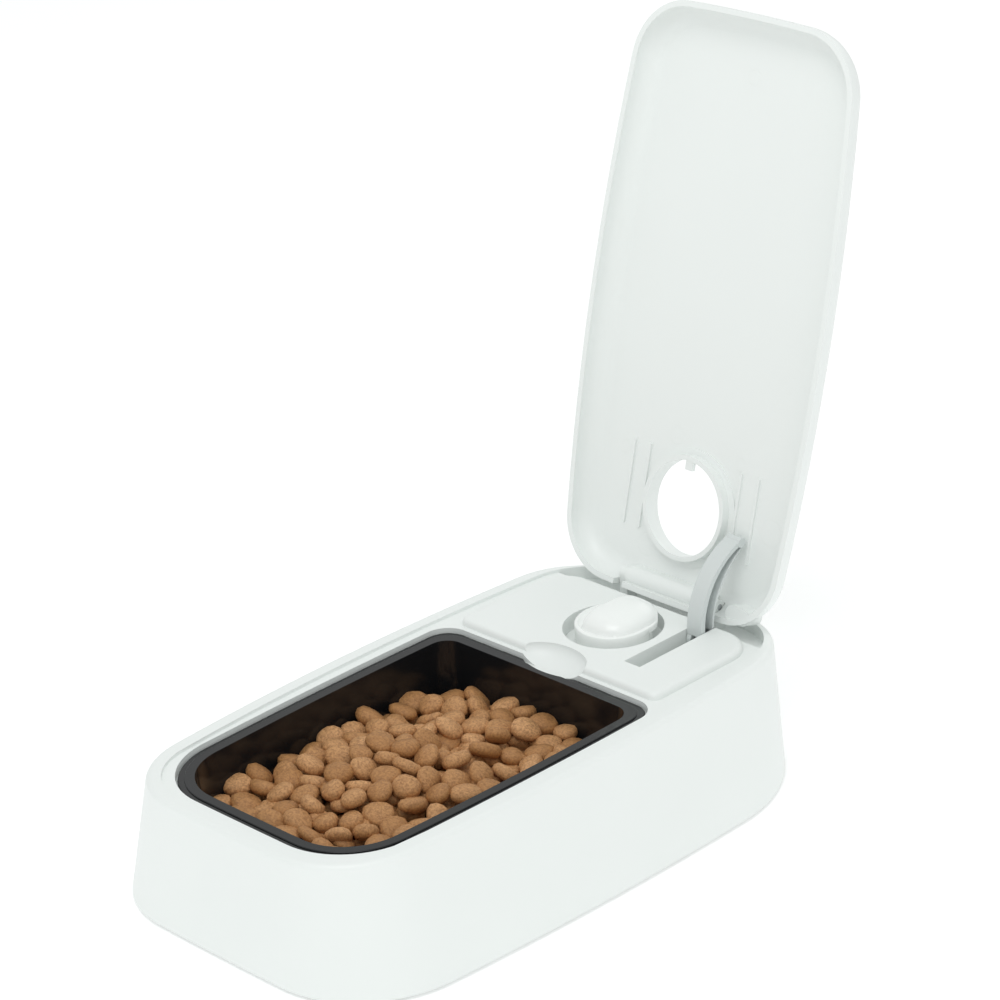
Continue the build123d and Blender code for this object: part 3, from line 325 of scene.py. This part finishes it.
@dataclass(frozen=True)
class BakedCrumb(Finish):
    """Extruded and baked cereal: a brown crust that varies from piece to piece, with darker pits."""

    darkest: str = "805533"
    pit_mm: float = 0.9
    pit_share: float = 0.75  # how dark the deepest pits get

    def tint(self, tree: bpy.types.NodeTree, where: bpy.types.NodeSocket,
             drift: bpy.types.NodeSocket) -> bpy.types.NodeSocket:
        """Colours each piece by its own stored shade, then darkens the crust's pits."""
        shade = add_node(tree, "ShaderNodeAttribute", {"attribute_name": "shade"})
        light = mix_colours(tree, self.colour, self.second, shade.outputs["Fac"])
        crust = add_node(tree, "ShaderNodeTexNoise",
                         {"Scale": 1.0 / (self.pit_mm * MM), "Detail": 5.0, "Roughness": 0.7},
                         {"Vector": where})
        pits = add_node(tree, "ShaderNodeMapRange",
                        {"From Min": 0.40, "From Max": 0.66, "To Min": 0.0, "To Max": self.pit_share},
                        {"Value": crust.outputs["Fac"]})
        dark = add_node(tree, "ShaderNodeMix", {"data_type": "RGBA", 7: linear(self.darkest)},
                        {0: pits.outputs[0], 6: light})
        return dark.outputs[2]


# faint rings that the mould's ejector pins leave on the lid's ceiling: place across, place
# forward of the hinge, radius
LID_MARKS = tuple((lid_point(x, forward, LID_CEILING), radius) for x, forward, radius in (
    (-11.5, 58.0, 3.6), (-37.0, 47.5, 2.6), (22.0, 54.5, 2.6),
    (41.5, 33.0, 5.0), (-19.0, 12.5, 4.6), (0.0, 199.0, 3.0),
))
# ABS from a lightly textured mould: a soft, slightly cool white with a broad dim highlight
WHITE_ABS = Finish("abs_white_textured", "eef2f0", "ebefed", 0.40, grain_depth_mm=0.012)
# the same resin on the lid, a little finer, with the ejector pins' rings
LID_ABS = Finish("abs_white_lid", "eef2f0", "ecf0ee", 0.38, grain_mm=0.5, grain_depth_mm=0.012,
                 marks=LID_MARKS)
# the same resin from a polished mould: the dial reads a touch brighter and glossier than the housing
DIAL_ABS = Finish("abs_white_polished", "f6f9f7", "f3f6f4", 0.22, Grain.POLISHED, 8.0, 0.02)
# grey-tinted ABS of the arm, satin, with the sharper sheen of a smaller tool
ARM_ABS = Finish("abs_light_grey", "d6dcdb", "d0d6d5", 0.34, grain_depth_mm=0.008)
# glossy black ABS of the bowl: near-black with mirror-like edges, a little orange peel
BOWL_ABS = Finish("abs_black_gloss", "17181a", "131415", 0.15, Grain.POLISHED, 6.0, 0.012, ior=1.44)
# moulded rubber feet: dark grey, dead matt
RUBBER = Finish("rubber_feet_grey", "4a4b4d", "424345", 0.78, Grain.CAST, 0.5, 0.03, 12.0, ior=1.52)
# zinc plating: pale, slightly streaked metal
ZINC = Finish("steel_zinc_plated", "c4c6c8", "adb0b3", 0.34, Grain.DRAWN, 0.25, 0.006, 8.0, 1.0, ior=1.5)
# bare spring wire and strip: darker, drawn lengthwise
SPRING = Finish("steel_spring_drawn", "9a9c9f", "84868a", 0.30, Grain.DRAWN, 0.2, 0.006, 6.0, 1.0, ior=1.5)
# unfilled acetal of the gears: milky, slightly waxy
ACETAL = Finish("acetal_natural", "ece9dc", "e6e2d3", 0.36, Grain.POLISHED, 3.0, 0.01, 14.0, ior=1.48)
# bonded ferrite of the rotor: black powder with a dull sheen
FERRITE = Finish("ferrite_bonded", "2b2b2c", "232324", 0.55, Grain.CAST, 0.3, 0.02, 6.0)
# stamped soft iron of the stator
IRON = Finish("iron_stamped", "8d8f92", "7a7c80", 0.42, Grain.DRAWN, 0.3, 0.008, 8.0, 1.0, ior=1.5)
# enamelled copper wire in level layers; the turns are drawn coarser than the real 0.05 mm wire
COPPER = BandedFinish("copper_winding", "b4602f", "6e3517", 0.30, Grain.DRAWN, 0.3, 0.01, 6.0, 0.8, ior=1.5,
                      axis=0, band_mm=0.35, share=0.72)
# lacquered glass-fibre laminate of the timer's board
BOARD = Finish("laminate_green", "1f5c3a", "1a4f32", 0.28, Grain.SPARK, 0.8, 0.01, 5.0)
# drawn can of the crystal
CAN = Finish("steel_can_bright", "d3d5d7", "c4c6c9", 0.16, Grain.DRAWN, 0.2, 0.004, 5.0, 1.0, ior=1.5)
# grey ABS of the timer's case
CASE_ABS = Finish("abs_case_grey", "9fa3a5", "979b9d", 0.45, grain_depth_mm=0.015)
# printed film jacket of the cell: dark field with one lighter band and no lettering
JACKET = BandedFinish("film_jacket_blue", "2c5f8a", "c9a45a", 0.24, Grain.POLISHED, 2.0, 0.01, 6.0, axis=0,
                      band_mm=49.0, share=0.78)
# dry food: baked crust, matt, light brown to brown
CRUMB = BakedCrumb("baked_cereal", "dba874", "b5834f", 0.60, Grain.CAST, 0.7, 0.5, 10.0, ior=1.45)


def dress(names: tuple[str, ...], finish: Finish) -> None:
    """Gives CAD nodes one material, in every slot they have.

    Args:
        names: The nodes' names.
        finish: The finish they share.
    """
    material = bpy.data.materials.get(finish.name) or finish.build()
    for name in names:
        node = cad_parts[name]
        if not node.material_slots:
            node.data.materials.append(material)
        for slot in node.material_slots:
            slot.material = material
    LOG.info("%s: %s", finish.name, ", ".join(names))


def place(piece: bpy.types.Object, finish: Finish, body: str, slot: str, *nodes: str) -> None:
    """Gives a new piece its material, its body and the nodes it stands for.

    Args:
        piece: The new piece.
        finish: Its finish.
        body: The CAD body that it moves with.
        slot: The record's material slot; not used.
        *nodes: CAD nodes that it replaces.
    """
    piece.data.materials.append(bpy.data.materials.get(finish.name) or finish.build())
    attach(piece, body)
    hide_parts(*nodes)
    LOG.info("%s: %d faces on %s", piece.name, len(piece.data.polygons), body)


# ------------------------------------------------------------------------------ sub-assemblies
@dataclass
class Housing:
    """The white base with its floor, feet and screws."""

    white: tuple[str, ...] = ("housing", "bottom_cover", "battery_door")

    def dress(self) -> None:
        """Dresses the shells, the feet and the fasteners."""
        dress(self.white, WHITE_ABS)
        dress(("rubber_feet",), RUBBER)
        dress(("cover_screws", "hinge_pin", "arm_pin"), ZINC)


@dataclass
class FoodBowl:
    """The dark bowl and, on the stage, the dry food that lies in it."""

    centre_y: float = BASE_Y - 32.2
    half_x: float = 44.0
    half_y: float = 65.0
    corner: float = 20.0
    pieces: int = 372
    radius: float = 5.4
    thickness: float = 2.7  # half of a piece's thickness
    bed: float = 30.0  # height of the food at the bowl's edge
    mound: float = 8.5  # how much higher it is in the middle
    layers: int = 3
    layer_drop: float = 4.4
    unevenness: float = 1.1
    spacing: float = 1.84  # distance kept between neighbours of one layer, in radii
    rounds: int = 140
    push_share: float = 0.35
    tilt_spread: tuple[float, float, float] = (0.42, 0.42, 1.5)  # about X, Y and Z, in radians
    seed: int = 11

    def dress(self) -> None:
        """Dresses the bowl."""
        dress(("food_bowl",), BOWL_ABS)

    def heap(self, x: np.ndarray, y: np.ndarray) -> np.ndarray:
        """Height of the food's top: a low mound over a nearly level bed, y from the bowl's centre."""
        rise = np.exp(-((x + 2) / 34.0) ** 2 - ((y - 2) / 46.0) ** 2)
        return self.bed + self.mound * rise

    def settle(self, rng: np.random.Generator) -> tuple[np.ndarray, np.ndarray]:
        """Spreads the pieces over the mound in layers and pushes apart those that overlap.

        Each round moves every piece away from its neighbours in its layer by a share of their
        overlap, in plan, and its centre back inside a rounded rectangle.

        Args:
            rng: The seeded source of chance.

        Returns:
            N by 3 centres and N by 3 tilt vectors.
        """
        spot = rng.uniform(-1, 1, (self.pieces, 2)) * (self.half_x, self.half_y)
        layer = np.arange(self.pieces) % self.layers
        reach = self.spacing * self.radius
        inner = np.array([self.half_x, self.half_y]) - self.corner
        for _ in range(self.rounds):
            gap = spot[:, None] - spot[None]
            away = np.linalg.norm(gap, axis=2) + np.eye(self.pieces) * 1e3
            same = layer[:, None] == layer[None]
            push = np.clip(reach - away, 0, None) * same / away
            spot += self.push_share * (gap * push[..., None]).sum(axis=1)
            past = spot - np.clip(spot, -inner, inner)
            far = np.linalg.norm(past, axis=1, keepdims=True)
            spot -= past * np.clip(1 - self.corner / np.maximum(far, 1e-6), 0, None)
        z = self.heap(spot[:, 0], spot[:, 1]) - self.layer_drop * layer
        z = z + rng.normal(0, self.unevenness, self.pieces)
        tilt = rng.normal(0, 1, (self.pieces, 3)) * self.tilt_spread
        return np.column_stack([spot[:, 0], spot[:, 1] + self.centre_y, z]), tilt

    def food(self) -> bpy.types.Object:
        """Makes the dry food as one mesh of small pillow-shaped discs.

        A disc is a squashed ball: ring angle a and side angle b give radius times sin(a) to a
        power under one outwards, and thickness times cos(a) up, with a slow wobble round the edge.
        Every disc is the same grid, turned about its tilt vector by Rodrigues' formula: the part
        along the vector stays, the rest turns by the cosine and sine of the vector's length.

        Returns:
            The food, which moves with the bowl.
        """
        rng = np.random.default_rng(self.seed)
        centres, tilt = self.settle(rng)
        sides, rings = 12, 6
        a = np.linspace(0, np.pi, rings)[:, None]
        b = np.linspace(0, 2 * np.pi, sides, endpoint=False)[None]
        count = len(centres)
        size = rng.uniform(0.86, 1.14, (count, 1, 1))
        wobble = 1 + 0.07 * np.sin(2 * b + rng.uniform(0, 6.28, (count, 1, 1)))
        wobble = wobble + 0.05 * np.sin(3 * b + rng.uniform(0, 6.28, (count, 1, 1)))
        out = self.radius * size * wobble * np.sin(a) ** 0.5
        up = self.thickness * np.cos(a) * rng.uniform(0.85, 1.15, (count, 1, 1)) * np.ones_like(b)
        local = np.stack([out * np.cos(b), out * np.sin(b), up], axis=-1).reshape(count, -1, 3)
        angle = np.linalg.norm(tilt, axis=1)[:, None, None]
        axis = (tilt / np.linalg.norm(tilt, axis=1, keepdims=True))[:, None]
        level = (local * axis).sum(axis=2, keepdims=True) * axis
        turned = level + (local - level) * np.cos(angle) + np.cross(axis, local) * np.sin(angle)
        points = turned + centres[:, None]
        quads = ring_quads(rings, sides)[None] + (np.arange(count) * rings * sides)[:, None, None]
        food = make_mesh("dry_food", points.reshape(-1, 3), quads.reshape(-1, 4)[:, ::-1], 80.0)
        shade = food.data.attributes.new("shade", "FLOAT", "POINT")
        tone = np.repeat(rng.uniform(0, 1, count), rings * sides)
        shade.data.foreach_set("value", tone.astype(np.float32))
        food.data.materials.append(CRUMB.build())
        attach(food, "bowl")
        LOG.info("dry food: %d pieces", count)
        return food


@dataclass
class Lid:
    """The dished lid."""

    def dress(self) -> None:
        """Dresses the lid."""
        dress(("lid",), LID_ABS)


@dataclass
class LiftArm:
    """The arm that throws the lid open, with its torsion spring."""

    x: float = 27.8
    pivot_y: float = BASE_Y + 97.6
    pivot_z: float = 46.6
    up: float = math.radians(57.5)
    coil: float = 2.5
    wire: float = 0.42
    turns: float = 4.25
    pitch: float = 0.86
    leg: float = 9.3
    coil_start: float = -0.8  # the first turn's place across, from the arm's middle

    def dress(self) -> None:
        """Dresses the arm."""
        dress(("lift_arm",), ARM_ABS)

    def spring(self) -> bpy.types.Object:
        """Winds the spring.

        The coil's centre line at turn t lies at the coil's radius round the pin and t pitches
        across; it starts from a straight leg that leaves the coil square to its radius, along the
        arm's pocket.

        Returns:
            The spring.
        """
        turn = np.linspace(0, self.turns * 2 * np.pi, 170)
        start = self.up - np.pi / 2
        angle = start - turn
        coil = np.column_stack([
            self.x + self.coil_start + self.pitch * turn / (2 * np.pi),
            self.pivot_y + self.coil * np.cos(angle), self.pivot_z + self.coil * np.sin(angle),
        ])
        along = np.linspace(self.leg, 0.15, 24)[:, None]
        leg = coil[0] + along * np.array([0.0, math.cos(self.up), math.sin(self.up)])
        points, quads = tube(np.vstack([leg, coil]), self.wire, 12, (1.0, 0.0, 0.0))
        return make_mesh("torsion_spring", points, quads)

    def build(self) -> None:
        """Builds and dresses the spring."""
        place(self.spring(), SPRING, "arm", "spring_steel", "arm_spring")


@dataclass
class TimerDial:
    """The timer's knob: a disc with a crowned grip bar and two raised lips on its left."""

    disc: float = 14.8
    foot_z: float = 45.7
    skirt: float = 2.4  # depth of the overhanging edge
    grip_left: float = 8.0
    grip_right: float = 13.4
    grip_front: float = -12.4
    grip_rear: float = 17.6
    grip_top: float = 59.1
    overhang: float = 2.4
    dish: float = 0.6
    lip: float = 0.5
    lip_rise: float = 1.0
    lip_at: float = 13.7
    inner_lip: float = 0.35
    inner_rise: float = 0.8
    inner_at: float = 11.0
    overhang_turn: float = math.radians(68.0)  # middle of the overhang, from +X
    overhang_half: float = math.radians(44.0)

    def rim(self, angle: np.ndarray) -> np.ndarray:
        """Plan radius at each angle: the disc's, swelling smoothly where the grip overhangs it.

        The swelling is the overhang times a flat-topped bell of the angle from its middle.

        Args:
            angle: Angles from +X, in radians.

        Returns:
            Radii in millimetres.
        """
        off = np.angle(np.exp(1j * (angle - self.overhang_turn))) / self.overhang_half
        return self.disc + self.overhang * np.exp(-off ** 4)

    def top(self, x: np.ndarray, y: np.ndarray) -> np.ndarray:
        """Height of the knob's upper side.

        Beside the grip it is the disc's edge height, dished, with one lip near the rim that rises
        towards the rear and a lower lip inside it. On the grip the height is the crown times a
        super-ellipse of the distances across and along it: steep on the finger recess's side and
        sloping gently to the rim on the other.

        Args:
            x: Distance across, from the axis.
            y: Distance towards the hinge, from the axis.

        Returns:
            Heights in millimetres.
        """
        radius = np.hypot(x, y)
        side = np.clip(-x / 6.0, 0, 1)
        rearward = np.clip(0.5 + 0.5 * y / np.maximum(radius, 1e-6), 0, 1) ** 1.5
        lips = (self.lip + self.lip_rise * rearward) * np.exp(-((radius - self.lip_at) / 0.8) ** 2)
        inner = self.inner_lip + self.inner_rise * rearward
        lips += inner * np.exp(-((radius - self.inner_at) / 0.7) ** 2)
        low = -self.dish * np.clip(1 - (radius / 13.4) ** 6, 0, 1) + lips * side
        middle, half = (self.grip_front + self.grip_rear) / 2, (self.grip_rear - self.grip_front) / 2
        across = np.where(x < 0, np.abs(x / self.grip_left) ** 4.0, np.abs(x / self.grip_right) ** 2.3)
        inside = np.clip(1 - across - np.abs((y - middle) / half) ** 3.0, 0, None)
        crown = (self.grip_top - DIAL_Z) * inside ** 0.5
        return DIAL_Z - 0.1 + np.where(crown > low, crown, low)

    def knob(self) -> bpy.types.Object:
        """Builds the knob.

        Rings run from the axis out over the top to the rim at equal steps, round the rim, down to
        the underside of the overhang, in to the disc's radius, down to its foot and in to the axis.

        Returns:
            The knob.
        """
        sides, steps = 160, 60
        angle = np.linspace(0, 2 * np.pi, sides, endpoint=False)
        rim = self.rim(angle)
        share = np.linspace(0.004, 1, steps)[:, None]
        radii = share * (rim - 0.5)[None]
        heights = self.top(radii * np.cos(angle), radii * np.sin(angle))
        edge = heights[-1]
        neck, foot = np.full(sides, self.disc), np.full(sides, self.foot_z)
        low = edge - self.skirt
        skirt_r = [rim - 0.15, rim, rim, np.maximum(neck, rim - 0.6), neck, neck, neck - 0.5, neck * 0.5,
                   neck * 0.02]
        skirt_z = [edge - 0.12, edge - 0.45, low, low - 0.3, low - 0.4, foot + 0.4, foot, foot, foot]
        radii = np.vstack([radii, *skirt_r])
        heights = np.vstack([heights, *skirt_z])
        points = np.stack([radii * np.cos(angle), DIAL_Y + radii * np.sin(angle), heights], axis=-1)
        points = points.reshape(-1, 3)
        rings = len(radii)
        count = rings * sides
        poles = np.array([[0, DIAL_Y, float(heights[0].mean())], [0, DIAL_Y, self.foot_z]])
        j = np.arange(sides)
        n = (j + 1) % sides
        cap = np.stack([n, j, np.full(sides, count), np.full(sides, count)], axis=1)[:, ::-1]
        base = np.stack([count - sides + j, count - sides + n, np.full(sides, count + 1),
                         np.full(sides, count + 1)], axis=1)[:, ::-1]
        quads = np.vstack([ring_quads(rings, sides)[:, ::-1], cap, base])
        return make_mesh("dial_knob", np.vstack([points, poles]), quads, 50.0)

    def build(self) -> None:
        """Builds and dresses the knob and the pieces on its spindle."""
        place(self.knob(), DIAL_ABS, "dial", "white_gloss", "timer_knob")
        dress(("knob_spindle",), ACETAL)
        dress(("spindle_clip", "clutch_washer"), SPRING)


@dataclass
class TimerMovement:
    """The quartz movement sealed under the deck."""

    def dress(self) -> None:
        """Dresses the case, the train, the motor and the electronics."""
        dress(("timer_case_lower", "timer_case_upper"), CASE_ABS)
        dress(("output_wheel", "reduction_wheel"), ACETAL)
        dress(("rotor",), FERRITE)
        dress(("wheel_arbors", "timer_screws"), ZINC)
        dress(("motor_stator",), IRON)
        dress(("motor_coil",), COPPER)
        dress(("circuit_board",), BOARD)
        dress(("quartz_crystal",), CAN)


@dataclass
class BatteryBay:
    """The cell and its contacts."""

    def dress(self) -> None:
        """Dresses the cell and the two contacts."""
        dress(("battery_cell",), JACKET)
        dress(("contact_positive", "contact_negative"), SPRING)


@dataclass
class Studio:
    """Plain pale floor, soft lights and the camera."""

    camera_at: tuple[float, float, float] = (898.54, -830.12, 676.34)
    azimuth: float = 47.268
    elevation: float = 24.334
    roll: float = -4.092
    focal: float = 3.69786  # focal length over sensor width
    lights: tuple = field(default_factory=lambda: (
        ("key", (250, -500, 1450), 900, 6.2), ("right", (1300, -300, 700), 900, 0.8),
        ("rear", (-300, 1000, 900), 800, 1.2),
    ))

    def camera(self) -> None:
        """Sets the camera from its place, its direction and its roll about that direction."""
        a, e, r = (math.radians(v) for v in (self.azimuth, self.elevation, self.roll))
        back = Vector((math.sin(a) * math.cos(e), -math.cos(a) * math.cos(e), math.sin(e)))
        right = Vector((math.cos(a), math.sin(a), 0))
        up = back.cross(right)
        right, up = right * math.cos(r) + up * math.sin(r), up * math.cos(r) - right * math.sin(r)
        data = bpy.data.cameras.new("studio_camera")
        data.sensor_width = 36.0
        data.lens = self.focal * data.sensor_width
        data.clip_start, data.clip_end = 0.05, 20.0
        camera = bpy.data.objects.new("studio_camera", data)
        turn = Matrix((right, up, back)).transposed().to_4x4()
        camera.matrix_world = Matrix.Translation(Vector(self.camera_at) * MM) @ turn
        bpy.context.scene.collection.objects.link(camera)
        bpy.context.scene.camera = camera

    def floor(self) -> None:
        """Lays a pale matt floor, a flat disc whose edge lies far out of view."""
        angle = np.linspace(0, 2 * np.pi, 64, endpoint=False)
        radii = np.array([[5.0], [3000.0]])
        points = np.stack([radii * np.cos(angle), radii * np.sin(angle), 0 * radii * angle - 0.05], axis=-1)
        floor = make_mesh("studio_floor", points.reshape(-1, 3), ring_quads(2, 64)[:, ::-1])
        floor.data.materials.append(self.paper())

    def paper(self) -> bpy.types.Material:
        """Pale paper that gives back a little light, so that the floor stays paler than the feeder."""
        material = bpy.data.materials.new("studio_paper")
        material.use_nodes = True
        tree = material.node_tree
        tree.nodes.clear()
        where = add_node(tree, "ShaderNodeTexCoord").outputs["Object"]
        drift = add_node(tree, "ShaderNodeTexNoise", {"Scale": 3.0}, {"Vector": where}).outputs["Fac"]
        tint = mix_colours(tree, "fdfdfd", "fbfcfc", drift)
        shader = add_node(tree, "ShaderNodeBsdfPrincipled",
                          {"Roughness": 0.9, "Emission Color": (1, 1, 1, 1), "Emission Strength": 0.2},
                          {"Base Color": tint})
        add_node(tree, "ShaderNodeOutputMaterial", None, {"Surface": shader.outputs[0]})
        return material

    def light(self) -> None:
        """Hangs the soft boxes and lights the room evenly."""
        for name, at, size, power in self.lights:
            data = bpy.data.lights.new(name, "AREA")
            data.shape, data.size, data.energy = "SQUARE", size * MM, power
            lamp = bpy.data.objects.new(name, data)
            place_at = Vector(at) * MM
            aim = Vector((0, 0, 0.08)) - place_at
            turn = aim.to_track_quat("-Z", "Y").to_matrix().to_4x4()
            lamp.matrix_world = Matrix.Translation(place_at) @ turn
            bpy.context.scene.collection.objects.link(lamp)
        world = bpy.data.worlds.new("studio_room")
        world.use_nodes = True
        tree = world.node_tree
        tree.nodes.clear()
        glow = add_node(tree, "ShaderNodeBackground", {"Color": (0.975, 0.992, 0.985, 1), "Strength": 0.72})
        add_node(tree, "ShaderNodeOutputWorld", None, {"Surface": glow.outputs[0]})
        bpy.context.scene.world = world
        bpy.context.scene.view_settings.view_transform = "Standard"

    def build(self) -> None:
        """Sets up the camera, the floor and the lights."""
        self.camera()
        self.floor()
        self.light()


def main() -> None:
    """Builds the stage and then every sub-assembly of the feeder, in order."""
    logging.basicConfig(level=logging.INFO, format="%(name)s %(message)s")
    Studio().build()
    Housing().dress()
    Lid().dress()
    arm = LiftArm()
    arm.dress()
    arm.build()
    TimerDial().build()
    TimerMovement().dress()
    BatteryBay().dress()
    bowl = FoodBowl()
    bowl.dress()
    bowl.food()


if __name__ == "__main__":
    main()
